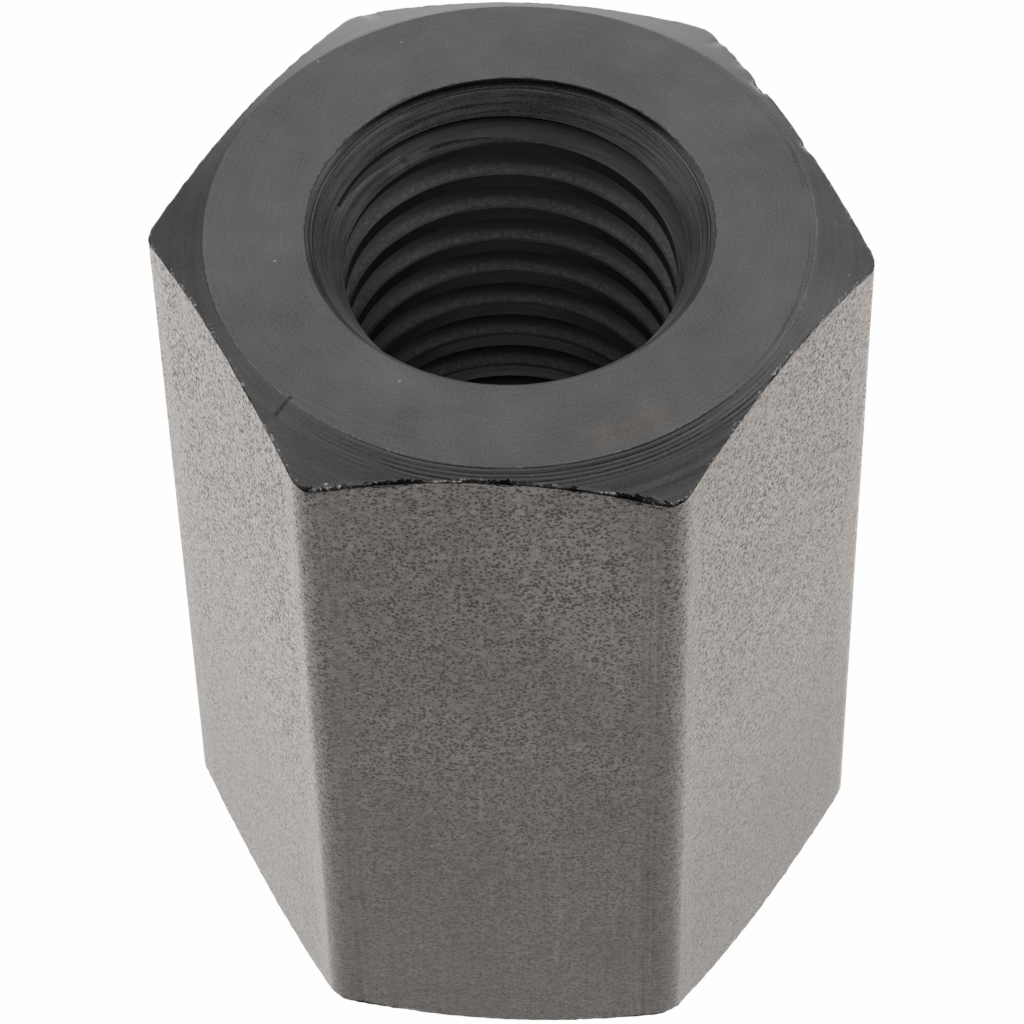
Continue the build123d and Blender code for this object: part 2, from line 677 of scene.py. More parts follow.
@dataclass
class ThreadedBore:
    """The bore: a section of the thread that Geometry Nodes carry up a helix, and a mouth at each end."""

    sizes: NutSizes
    columns: Columns
    finish: bpy.types.Material
    mouth_finish: bpy.types.Material
    root_flat: float = 0.125
    root_round: float = 0.07
    crest_round: float = 0.03
    tear: float = 0.018
    first_share: float = 0.50
    full_depth: float = 3.0
    turns_below: int = 2
    tears_per_metre: float = 1600.0
    merge_gap: float = 0.001
    cone_gap: float = 0.012
    untorn_gap: float = 0.02
    seed: int = 5

    def section(self) -> List[Tuple[float, float]]:
        """One pitch of the thread's section, from the middle of a groove.

        Returns:
            The heights and radii of its points, in millimetres.
        """
        s = self.sizes
        root = s.thread_diameter / 2
        slope = math.tan(math.radians(s.flank_angle))
        root_half = s.pitch * self.root_flat / 2
        crest_half = root_half + (root - s.crest_radius) * slope
        middle = (root_half + crest_half) / 2
        on_flank = (root_half + self.root_round, middle, crest_half - self.crest_round)
        rise = [(root_half - self.root_round, root)]
        rise += [(height, root - (height - root_half) / slope) for height in on_flank]
        rise.append((crest_half + self.crest_round, s.crest_radius))
        fall = [(s.pitch - height, radius) for height, radius in reversed(rise)]
        return rise + [(s.pitch / 2, s.crest_radius)] + fall

    def section_mesh(self) -> bpy.types.Mesh:
        """The section as a string of vertices, with the radius in X and the height in Z.

        Returns:
            The mesh, in metres.
        """
        points = [(radius * MM, 0.0, height * MM) for height, radius in self.section()]
        mesh = bpy.data.meshes.new("thread_section")
        mesh.from_pydata(points, [(k, k + 1) for k in range(len(points) - 1)], [])
        return mesh

    def interface(self, tree: bpy.types.NodeTree) -> Dict[str, Tuple[str, float]]:
        """Gives the tree its sockets.

        Args:
            tree: The new tree.

        Returns:
            For each named input, its socket's identifier and its value.
        """
        s = self.sizes
        lengths = {
            "Pitch": s.pitch * MM,
            "Nut Length": s.length * MM,
            "Mouth Radius": s.mouth_radius * MM,
            "Mouth Bevel": s.mouth_bevel * MM,
            "Tear Depth": self.tear * MM,
            "Crest Radius": s.crest_radius * MM,
            "Full Depth": self.full_depth * MM,
        }
        others = {
            "Start Angle": math.radians(s.start_angle),
            "Mouth Slope": math.tan(math.radians(s.mouth_half_angle)),
            "Crowding": self.columns.crowding,
            "First Share": self.first_share,
        }
        counts = {
            "Columns": self.columns.bore_count,
            "Section Points": len(self.section()),
            "Turns": math.ceil(s.length / s.pitch) + self.turns_below + 1,
            "Seed": self.seed,
        }
        add = tree.interface.new_socket
        add("Section", in_out="INPUT", socket_type="NodeSocketGeometry")
        add("Bore", in_out="OUTPUT", socket_type="NodeSocketGeometry")
        found: Dict[str, Tuple[str, float]] = {}
        for kind, group in (("NodeSocketFloat", {**lengths, **others}), ("NodeSocketInt", counts)):
            for name, value in group.items():
                socket = add(name, in_out="INPUT", socket_type=kind)
                found[name] = (socket.identifier, value)
        return found

    def tree(self) -> Tuple[bpy.types.NodeTree, Dict[str, Tuple[str, float]]]:
        """Builds the Geometry Nodes tree of the bore.

        Returns:
            The tree, and the identifier and value of each named input.
        """
        tree = bpy.data.node_groups.new("threaded_bore", "GeometryNodeTree")
        inputs = self.interface(tree)
        g = Graph(tree)
        section = g.node("NodeGroupInput", {}, {})

        def given(name: str) -> Signal:
            """A named input of the tree."""
            return g.other(section, name)

        pitch, length = given("Pitch"), given("Nut Length")
        per_turn, turns, columns = given("Section Points"), given("Turns"), given("Columns")
        rim, bevel, slope = given("Mouth Radius"), given("Mouth Bevel"), given("Mouth Slope")

        # A flat grid, whose vertices are numbered row by row up each column
        rows = per_turn * turns
        grid = g.node("GeometryNodeMeshGrid", {}, {"Vertices X": columns + 1, "Vertices Y": rows})
        index = g.node("GeometryNodeInputIndex", {}, {})
        column = (index / rows + ROUNDING).floor()
        row = index - column * rows
        turn = (row / per_turn + ROUNDING).floor()
        even = column * (2 * math.pi) / columns
        angle = even - given("Crowding") / 6 * (even * 6).sine()

        # The section is carried up the helix, still unrolled: radius, angle and height
        number, vector = {"data_type": "FLOAT"}, {"data_type": "FLOAT_VECTOR"}
        place = g.node("GeometryNodeInputPosition", {}, {})
        sample = {0: section, "Value": place, "Index": row - turn * per_turn}
        point = g.node("GeometryNodeSampleIndex", vector, sample)
        radius, _, lift = g.split(point)
        climb = (angle - given("Start Angle")) / (2 * math.pi) + turn - self.turns_below
        height = (lift + climb * pitch).at_least(bevel).at_most(length - bevel)
        depth = height.at_most(length - height) - bevel
        cone = rim - bevel - depth * slope

        # The groove gets shallower towards an end, where the tap has only just started to cut
        first, crest = given("First Share"), given("Crest Radius")
        share = (first + depth / given("Full Depth") * (1.0 - first)).at_most(1.0)
        radius = crest + (radius - crest) * share
        spare = radius - cone
        here = g.vector(radius, angle, height)
        threaded = g.node("GeometryNodeSetPosition", {}, {"Geometry": grid, "Position": here})

        # Where the mouth has cut the thread away, a vertex goes to the crossing beside it, or on to the cone
        kept = g.node("GeometryNodeCaptureAttribute", {}, {"Geometry": threaded})
        kept_node = kept.socket.node
        captured = (("VECTOR", "Here", here), ("FLOAT", "Spare", spare), ("FLOAT", "Cone", cone))
        for kind, name, value in captured:
            kept_node.capture_items.new(kind, name)
            tree.links.new(value.socket, kept_node.inputs[name])
        here, spare, cone = (g.other(kept, name) for name in ("Here", "Spare", "Cone"))
        unrolled = g.split(here)
        moved = g.vector(cone, unrolled[1], unrolled[2])
        for step in (-1, 1):
            beside = index + step
            near = g.node("GeometryNodeFieldAtIndex", vector, {"Value": here, "Index": beside})
            room = g.node("GeometryNodeFieldAtIndex", number, {"Value": spare, "Index": beside})
            share = room / (room - spare).at_least(1e-9)
            crossing = g.node("ShaderNodeMix", {"data_type": "VECTOR"}, {0: share, 4: near, 5: here}, 1)
            crossing_x = g.split(crossing)
            crossing = g.vector(crossing_x[0], unrolled[1], crossing_x[2])
            switch = {"Switch": room.above(0.0), "False": moved, "True": crossing}
            moved = g.node("GeometryNodeSwitch", {"input_type": "VECTOR"}, switch)
        buried = {"Switch": spare.below(0.0), "False": here, "True": moved}
        cut = g.node("GeometryNodeSwitch", {"input_type": "VECTOR"}, buried)

        # The first and last rows are the rims, and everything is rolled up round the axis
        radius, angle, height = g.split(cut)
        at_rim = row.below(0.5).at_least(row.above(rows - 1.5))
        radius = radius + at_rim * (rim - radius)
        height = height + at_rim * ((height / length + 0.5).floor() * length - height)
        rolled = g.vector(radius * angle.cosine(), radius * angle.sine(), height)
        tube = g.node("GeometryNodeSetPosition", {}, {"Geometry": kept, "Position": rolled})
        links = {"Geometry": tube, "Distance": self.merge_gap * MM}
        merged = g.node("GeometryNodeMergeByDistance", {}, links)

        # The tap tears the steel a little, along the flanks and the crests' edges
        z = g.split(place)[2]
        from_axis = g.product(place, (1.0, 1.0, 0.0))
        depth = z.at_most(length - z) - bevel
        past_cone = g.length(from_axis) - (rim - bevel - depth * slope)
        inside = past_cone.above(self.untorn_gap * MM) * depth.above(0.0)
        links = {"Vector": place, "W": given("Seed"), "Scale": self.tears_per_metre, "Detail": 2.0}
        waves = g.node("ShaderNodeTexNoise", {"noise_dimensions": "4D"}, links)
        push = (waves - 0.5) * 2 * given("Tear Depth") * inside
        offset = g.scale(g.vector_math("NORMALIZE", (from_axis,)), push)
        torn = g.node("GeometryNodeSetPosition", {}, {"Geometry": merged, "Offset": offset})

        # The finish of the thread, and that of the mouths where a face lies on their cones
        solid = g.node("GeometryNodeRealizeInstances", {}, {"Geometry": torn})
        dressed = g.node("GeometryNodeSetMaterial", {}, {"Geometry": solid, "Material": self.finish})
        at_mouth = abs(past_cone).below(self.cone_gap * MM).at_least(depth.below(0.0))
        mouth = {"Geometry": dressed, "Selection": at_mouth, "Material": self.mouth_finish}
        end = tree.nodes.new("NodeGroupOutput")
        tree.links.new(g.node("GeometryNodeSetMaterial", {}, mouth).socket, end.inputs[0])
        return tree, inputs

    def build(self) -> bpy.types.Mesh:
        """Runs the tree on the section.

        Returns:
            The bore as a plain mesh, open at its two rims.
        """
        carrier = bpy.data.objects.new("thread_section", self.section_mesh())
        bpy.context.scene.collection.objects.link(carrier)
        tree, inputs = self.tree()
        modifier = carrier.modifiers.new("bore", "NODES")
        modifier.node_group = tree
        for identifier, value in inputs.values():
            modifier[identifier] = value
        evaluated = carrier.evaluated_get(bpy.context.evaluated_depsgraph_get())
        mesh = bpy.data.meshes.new_from_object(evaluated)
        bpy.data.objects.remove(carrier)
        return mesh


@dataclass(frozen=True)
class Mark:
    """A scratch, nick, stain or painted glint: a stretch of the surface that differs from the rest."""

    start: Point
    end: Point
    width: float
    strength: float

    def mask(self, g: Graph, place: Signal) -> Signal:
        """How much of the mark a point holds.

        Args:
            g: The material's graph.
            place: The point, in millimetres.

        Returns:
            A value that falls from the mark's strength on its line to 0 at its width.
        """
        along = Vector(self.end) - Vector(self.start)
        from_start = g.vector_math("SUBTRACT", (place, self.start))
        share = g.vector_math("DOT_PRODUCT", (from_start, tuple(along / along.length_squared)), "Value")
        foot = g.scale(tuple(along), share.clamp())
        return g.vector_math("DISTANCE", (from_start, foot), "Value").ramp(self.width, 0.0, self.strength)


@dataclass(frozen=True)
class Finish:
    """What the finishes of the steel share: dark oxide under a film of oil, with a little dust on it."""

    name: str
    film: float = 1.0
    film_roughness: float = 0.30
    film_tint: Colour = grey(1.0)
    dust: float = 0.0
    dust_roughness: float = 0.3
    grazing_tint: Colour = grey(1.0)
    # How much darker the burr's line is: dark oxide in its crease, with painted shade under its lip
    line_dark: float = 0.9

    def start(self) -> Tuple[bpy.types.Material, Graph, bpy.types.Node, Signal]:
        """Makes the material.

        Returns:
            The material, its graph, its shader, and the place on the surface in millimetres.
        """
        material = bpy.data.materials.new(self.name)
        material.use_nodes = True
        g = Graph(material.node_tree)
        shader = material.node_tree.nodes["Principled BSDF"]
        constants = {
            "Metallic": 1.0,
            "Specular IOR Level": 0.0,
            "Specular Tint": self.grazing_tint,
            "Coat Weight": self.film,
            "Coat Roughness": self.film_roughness,
            "Coat Tint": self.film_tint,
            "Sheen Weight": self.dust,
            "Sheen Roughness": self.dust_roughness,
            "Sheen Tint": self.grazing_tint,
        }
        for name, value in constants.items():
            shader.inputs[name].default_value = value
        place = g.node("ShaderNodeTexCoord", {}, {}, "Object")
        return material, g, shader, g.product(place, (1 / MM, 1 / MM, 1 / MM))

    @staticmethod
    def burr_line(g: Graph, place: Signal, spread: float) -> Tuple[Signal, Signal]:
        """The ragged dark line along a chamfer's edge, partly dark oxide in the burr's crease and partly
        painted shade under its lip, and the bright flecks beside it, which are painted glints.

        Args:
            g: The material's graph.
            place: The point, in millimetres.
            spread: How many millimetres of the surface go with a millimetre of height.

        Returns:
            The line and the painted glints, each from 0 to 1.
        """
        burr = g.value("burr")
        gap = (EDGE_REACH - g.value("nearness")) * spread
        blobs = g.noise(place, 0.55, 2.0).ramp(0.46, 0.60)
        fray = g.noise(place, 3.0, 2.0, 0.8) - 0.5
        reach = burr * (0.12 + 0.09 * blobs + 0.55 * fray)
        # The dark line: partly dark oxide in the burr's crease, partly painted shade under its lip
        line = (reach - gap).ramp(-0.02, 0.03) * (0.72 + 0.28 * blobs)
        # Painted glints: bright flecks painted just beside the edge
        near = gap.ramp(0.24, 0.12) * g.noise(place, 0.9, 1.0).ramp(0.43, 0.55)
        painted_glint_flecks = g.noise(place, 5.5, 1.0, 0.7).ramp(0.55, 0.63) * near
        return line, painted_glint_flecks * (burr * 0.55 + 0.45)

    @staticmethod
    def marked(g: Graph, place: Signal, marks: Sequence[Mark]) -> Number:
        """The sum of some marks.

        Args:
            g: The material's graph.
            place: The point, in millimetres.
            marks: The marks.

        Returns:
            Their strength at the point.
        """
        total: Number = 0.0
        for mark in marks:
            total = total + mark.mask(g, place)
        return total

    @staticmethod
    def finish(g: Graph, shader: bpy.types.Node, changing: Dict[str, Signal], relief: Signal) -> None:
        """Connects what changes over the surface.

        Args:
            g: The material's graph.
            shader: Its shader.
            changing: What goes into each of the shader's sockets.
            relief: The height of the surface in millimetres.
        """
        bump = g.node("ShaderNodeBump", {}, {"Height": relief, "Distance": MM, "Strength": 1.0})
        for name, signal in {**changing, "Normal": bump}.items():
            g.tree.links.new(signal.socket, shader.inputs[name])


@dataclass(frozen=True)
class DrawnSteel(Finish):
    """The flats of the bar: finely pitted all over, with a drawn band beside each long edge."""

    name: str = "drawn_steel"
    warm: Colour = (0.086, 0.076, 0.071, 1.0)
    cool: Colour = (0.100, 0.097, 0.096, 1.0)
    pit: Colour = (0.080, 0.063, 0.055, 1.0)
    film_roughness: float = 0.20
    film_tint: Colour = (1.0, 0.955, 0.92, 1.0)
    dust: float = 0.95
    grazing_tint: Colour = (1.0, 0.955, 0.91, 1.0)
    pits_per_mm: float = 5.1
    pit_depth: float = 0.070
    swell_depth: float = 0.15
    line_depth: float = 0.003
    band_line_depth: float = 0.012
    scratch_depth: float = 0.02
    band_start: Span = (0.6, 1.0)
    band_end: Span = (2.2, 1.6)
    # Where the painted light on the side flats starts and becomes full, by the distance from the axis across
    # the bar
    painted_side_light: Span = (8.4, 10.4)
    darkest: float = 0.1
    length: float = 48.0
    scratches: Tuple[Mark, ...] = (
        Mark((-2.09, -15.875, 43.85), (-0.76, -15.875, 43.0), 0.07, -0.55),
        Mark((-2.05, -15.875, 43.95), (-0.85, -15.875, 43.15), 0.05, 0.18),
        Mark((-6.31, -15.875, 16.33), (-2.22, -15.875, 22.11), 0.08, 0.38),
        Mark((5.7, -15.875, 39.9), (4.6, -15.875, 38.6), 0.10, 0.30),
    )
    smears: Tuple[Mark, ...] = (
        Mark((3.25, -15.875, 12.38), (2.89, -15.875, 6.55), 0.22, 0.34),
        Mark((-0.55, -15.875, 13.97), (-0.49, -15.875, 11.61), 0.20, 0.30),
        Mark((3.4, -15.875, 42.6), (6.8, -15.875, 31.0), 4.6, 0.16),
    )

    def material(self) -> bpy.types.Material:
        """Builds the material.

        Returns:
            The finish of the flats.
        """
        material, g, shader, place = self.start()
        patch = g.noise(place, 0.16, 2.0, 0.55) - 0.5
        smudge = g.noise(place, 1.1, 2.0, 0.65) - 0.5
        drift = g.noise(g.product(place, (1.0, 1.0, 0.3)), 0.5, 1.0) - 0.5
        from_edge = g.value("edge_gap") + drift * 0.9
        band = from_edge.ramp(*self.band_start) * from_edge.ramp(*self.band_end)

        # Small soft pits lie close together all over the bar, shallower low down. The same share paints
        # shade that darkens the bar and thins its film towards the bottom
        x, _, z = g.split(place)
        height = z / self.length
        wear_and_painted_low_shade = 0.35 + height.ramp(0.0, 0.9, 0.65)
        grain = g.noise(place, self.pits_per_mm, 2.0, 0.8) - 0.5
        swell = (g.noise(place, 0.6 * self.pits_per_mm, 1.0, 0.6) - 0.5) * wear_and_painted_low_shade
        reach = 1.1 * grain + 0.55 * smudge + 0.30 * patch - 0.16 * band
        sunk = (g.cells(place, self.pits_per_mm) - reach).ramp(0.57, 0.10) * wear_and_painted_low_shade
        drawn = g.noise(g.product(place, (1.0, 1.0, 0.012)), 5.0, 2.0, 0.7) - 0.5
        scratches = self.marked(g, place, self.scratches)
        marks = scratches + self.marked(g, place, self.smears)
        line, painted_glint_flecks = self.burr_line(g, place, 1.0)

        coolness = (patch + 0.5 - 0.12 * band + marks).ramp(0.42, 0.62) * wear_and_painted_low_shade
        colour = g.blend(sunk * 0.6, g.blend(coolness, self.warm, self.cool), self.pit)
        # Painted shade: the bar is painted darker towards the bottom
        shade = 0.40 + 0.64 * wear_and_painted_low_shade - 0.10 * sunk + 1.7 * wear_and_painted_low_shade * grain + 0.7 * swell
        shade = shade + (0.60 - 0.45 * height + 1.3 * band) * drawn + smudge + 0.5 * patch - 0.20 * band
        # Painted light: the flats beside the front one are painted lighter, a little more on the right, and
        # less towards the bottom
        shade = shade + abs(x).ramp(*self.painted_side_light) * (1.10 + 0.012 * x) * height.ramp(0.1, 0.5) + marks
        # The burr's flecks are painted glints, and its dark line is dark oxide with painted shade under the
        # lip
        shade = (shade.at_least(self.darkest) + 2.0 * painted_glint_flecks) * (1.0 - self.line_dark * line)
        relief = (grain - sunk) * self.pit_depth + swell * self.swell_depth + scratches * self.scratch_depth
        changing = {
            "Base Color": g.scale(colour, shade),
            "Metallic": 1.0 - 0.9 * sunk,
            "Roughness": 0.30 + 0.15 * sunk - 0.04 * band,
            "Coat Weight": (0.88 + 0.16 * wear_and_painted_low_shade - 0.80 * sunk + 1.2 * grain + 1.3 * swell) * (1.0 - line),
        }
        self.finish(g, shader, changing, relief + drawn * (self.line_depth + self.band_line_depth * band))
        return material


@dataclass(frozen=True)
class Groove:
    """A ring that the tool left in a chamfer: how far outside the rim, its half width, and its lightness."""

    offset: float
    half_width: float
    light: float

    def profile(self, out: Signal) -> Signal:
        """How much lighter the ring makes a point that lies so far outside the rim."""
        return abs(out - self.offset).ramp(self.half_width, 0.2 * self.half_width, self.light)


@dataclass(frozen=True)
class TurnedSteel(Finish):
    """The end faces, chamfers and mouths: smooth and dark, with the rings that a turning tool leaves."""

    name: str = "turned_steel"
    dust: float = 0.35
    face: Colour = grey(0.101, -0.01)
    slope: Colour = grey(0.077, 0.0)
    mouth: Colour = grey(0.178, -0.03)
    # The colour of the painted shade on the bevel at the back of each mouth
    bevel: Colour = grey(0.030, -0.02)
    rust: Colour = (0.146, 0.116, 0.096, 1.0)
    hair_depth: float = 0.004
    mouth_hair_depth: float = 0.012
    ring_depth: float = 0.002
    turned_ring_depth: float = 0.016
    groove_depth: float = 0.035
    grain_depth: float = 0.003
    mark_depth: float = 0.03
    seam_depth: float = 0.02
    darkest: float = 0.08
    rim_radius: float = 15.195
    mouth_radius: float = 10.185
    length: float = 48.0
    bevel_depth: float = 0.4
    grooves: Tuple[Groove, ...] = (
        Groove(0.06, 0.045, -0.8),
        Groove(0.17, 0.06, 0.45),
        Groove(0.29, 0.040, -0.75),
        Groove(0.38, 0.05, 0.4),
        Groove(0.47, 0.035, -0.55),
        Groove(0.55, 0.04, 0.4),
        Groove(0.65, 0.050, -0.9),
        Groove(0.75, 0.05, 0.55),
        Groove(0.84, 0.035, -0.55),
        Groove(1.02, 0.04, -0.4),
    )
    marks: Tuple[Mark, ...] = (
        Mark((-9.87, -11.43, 48.0), (-10.53, -12.12, 47.5), 0.19, -0.95),
        # The light line beside the nick is its raised lip, painted lighter as a highlight
        Mark((-9.92, -11.62, 47.97), (-10.52, -12.28, 47.5), 0.08, 0.5),
        Mark((16.06, 1.69, 47.45), (17.17, 2.07, 46.79), 0.06, -0.5),
        Mark((16.04, 1.68, 47.46), (16.16, 1.72, 47.40), 0.06, 1.6),
        Mark((-5.03, -14.24, 48.0), (-4.85, -14.5, 47.97), 0.08, 1.2),
    )
    # Painted glints: white specks painted along the top edge of the front
    painted_glints: Tuple[Mark, ...] = (
        Mark((-9.35, -15.28, 46.42), (-9.0, -15.42, 46.46), 0.12, 9.0),
        Mark((-8.15, -15.56, 46.65), (-7.8, -15.62, 46.68), 0.12, 9.0),
        Mark((-7.0, -15.94, 46.74), (-6.7, -15.98, 46.74), 0.12, 9.0),
        Mark((-2.8, -15.88, 47.52), (-2.3, -15.88, 47.52), 0.12, 9.0),
        Mark((-2.1, -15.82, 47.58), (-1.4, -15.82, 47.60), 0.12, 10.0),
        Mark((-6.3, -14.9, 47.2), (-6.1, -14.95, 47.2), 0.07, 7.0),
    )
    stains: Tuple[Mark, ...] = (
        Mark((5.5, -13.0, 48.0), (7.6, -11.9, 48.0), 1.3, 0.65),
        Mark((-5.65, -13.4, 48.0), (-5.2, -13.95, 48.0), 0.22, 0.9),
    )

    def mouth_seam(self, in_mouth: Signal, to_end: Signal, far: Signal) -> Signal:
        """The lines where a mouth's bevel meets its cone: dark ones, painted darker at the front as painted
        shade, and a painted highlight at the back.

        Args:
            in_mouth: 1 in a mouth, else 0.
            to_end: The height from the nearer end face.
            far: 1 at the back of the nut, 0 at the front.

        Returns:
            How much lighter the lines make the surface.
        """
        seam = in_mouth * far * abs(to_end - self.bevel_depth - 0.03).ramp(0.05, 0.0, 0.4)
        for inside, half in ((0.0, 0.035), (0.15, 0.03)):
            ring = abs(to_end - (self.bevel_depth - inside)).ramp(half, 0.4 * half)
            seam = seam - in_mouth * ring * (0.9 - 0.6 * far)
        return seam

    def material(self) -> bpy.types.Material:
        """Builds the material.

        Returns:
            The finish of the end faces, chamfers and mouths.
        """
        material, g, shader, place = self.start()
        x, y, z = g.split(place)
        radius = g.length(g.product(place, (1.0, 1.0, 0.0)))
        across, ahead = x / radius, y / radius
        to_end = z.at_most(self.length - z)
        out = radius - self.rim_radius
        sloping = out.ramp(-0.03, 0.03)
        in_mouth = to_end.ramp(0.01, 0.05) * (1.0 - sloping)
        far = ahead.ramp(0.35, 0.80)
        # Painted shade: the mouth's bevel is darkened all round, and at the back it gets the bevel's dark
        # colour and loses its film
        bevelled = in_mouth * to_end.ramp(self.bevel_depth + 0.03, self.bevel_depth - 0.03)
        painted_bevel_shade = bevelled * far * to_end.ramp(0.8 * self.bevel_depth, 0.3 * self.bevel_depth)
        turned = (sloping + in_mouth).at_most(1.0)

        # Rings are noise that is stretched round the axis, so that it hardly changes along a ring
        path = g.vector(radius - 0.5 * to_end, across, ahead)
        hair = g.noise(g.product(path, (10.0, 4.0, 4.0)), 1.0, 2.0, 0.75) - 0.5
        rings = g.noise(g.product(path, (4.5, 1.2, 1.2)), 1.0, 2.0, 0.7) - 0.5
        sweep = g.noise(g.vector(across * 1.6, ahead * 1.6, 0.0), 1.0, 1.0) - 0.5
        cloud = g.noise(place, 0.22, 2.0, 0.65) - 0.5
        grain = g.noise(place, 9.0, 1.0, 0.65) - 0.5

        # A few deep rings lie just outside the rim, deepest at the front, and they come and go
        wander = out + sweep * 0.14
        cut: Number = 0.0
        for groove in self.grooves:
            cut = cut + groove.profile(wander)
        patchy = g.noise(g.product(path, (2.2, 5.0, 5.0)), 1.0, 1.0).ramp(0.28, 0.55)
        front = (ahead - 0.25 * across).ramp(-0.65, -0.92)
        cut = cut * sloping * patchy * (0.07 + 0.93 * front)
        coarse = sloping * across.ramp(0.1, 0.5) * ahead.ramp(-0.4, -0.8) + in_mouth
        # Painted highlights: a broken light line along the rim, and the painted glints
        sparkle = g.noise(place, 2.6, 2.0, 0.75).ramp(0.50, 0.64)
        painted_highlights = abs(out).ramp(0.05, 0.0) * (0.1 + sparkle) + self.marked(g, place, self.painted_glints) * sparkle
        scuff = abs(out + 0.28).ramp(0.20, 0.05) * (rings + hair).ramp(0.02, -0.16) * across.ramp(0.55, 0.85)
        seam = self.mouth_seam(in_mouth, to_end, far)
        specks = g.cells(place, 0.45).ramp(0.045, 0.02) * (1.0 - in_mouth)

        # Painted shade: the dark of the mouth's rim reaches unevenly a little way over the end face, most at
        # the back
        rim_shade_reach = (g.noise(place, 1.3, 2.0, 0.75) - 0.42) * ahead.ramp(-0.9, 0.6, 0.55)
        painted_rim_shade = (radius - self.mouth_radius - rim_shade_reach).ramp(0.03, -0.03) * (1.0 - in_mouth)

        marks = self.marked(g, place, self.marks)
        blotch = g.noise(place, 1.8, 1.0, 0.65).ramp(0.42, 0.60)
        stain = (self.marked(g, place, self.stains) * (0.3 + 0.8 * blotch)).at_most(1.0)
        line, painted_glint_flecks = self.burr_line(g, place, 2.0)
        colour = g.blend(in_mouth, g.blend(sloping, self.face, self.slope), self.mouth)
        colour = g.blend(stain, g.blend(painted_bevel_shade, colour, self.bevel), self.rust)

        # Painted light and shade: each chamfer's corner and each side of the mouths is painted a little
        # lighter or darker, for how much of the light it catches
        thirds = across * (across * across * 4.0 - 3.0)
        corners = 0.2 * thirds + ahead.ramp(-0.7, -0.95, 0.13) - across.ramp(-0.75, -0.95, 0.14)
        painted_mouth_light_and_shade = 0.08 + 0.42 * far - (across * 0.75 + ahead * 0.66).ramp(0.7, 1.0, 0.30)
        shade = 1.0 + (0.4 + 0.8 * in_mouth) * hair + (0.15 + 0.65 * turned + 1.4 * coarse) * rings
        shade = shade + 1.1 * cloud + 1.3 * grain + cut + painted_highlights + seam + 2.0 * specks + marks - 0.4 * painted_rim_shade
        shade = shade - 0.4 * scuff + sloping * corners - in_mouth * painted_mouth_light_and_shade - 0.2 * bevelled
        # The burr's flecks are painted glints, and its dark line is dark oxide with painted shade under the
        # lip
        shade = (shade.at_least(self.darkest) + 7.0 * painted_glint_flecks) * (1.0 - self.line_dark * line)
        relief = hair * (self.hair_depth + self.mouth_hair_depth * in_mouth) + cut * self.groove_depth
        relief = relief + rings * (self.ring_depth + self.turned_ring_depth * turned)
        relief = relief + grain * self.grain_depth + marks * self.mark_depth + seam * self.seam_depth
        changing = {
            "Base Color": g.scale(colour, shade),
            "Roughness": 0.40 + 0.20 * grain + 0.15 * cloud + 0.25 * in_mouth,
            "Coat Weight": (1.0 - line) * (1.0 + 0.6 * cut).clamp() * (1.0 - 0.5 * painted_rim_shade - 0.9 * painted_bevel_shade),
        }
        self.finish(g, shader, changing, relief)
        return material


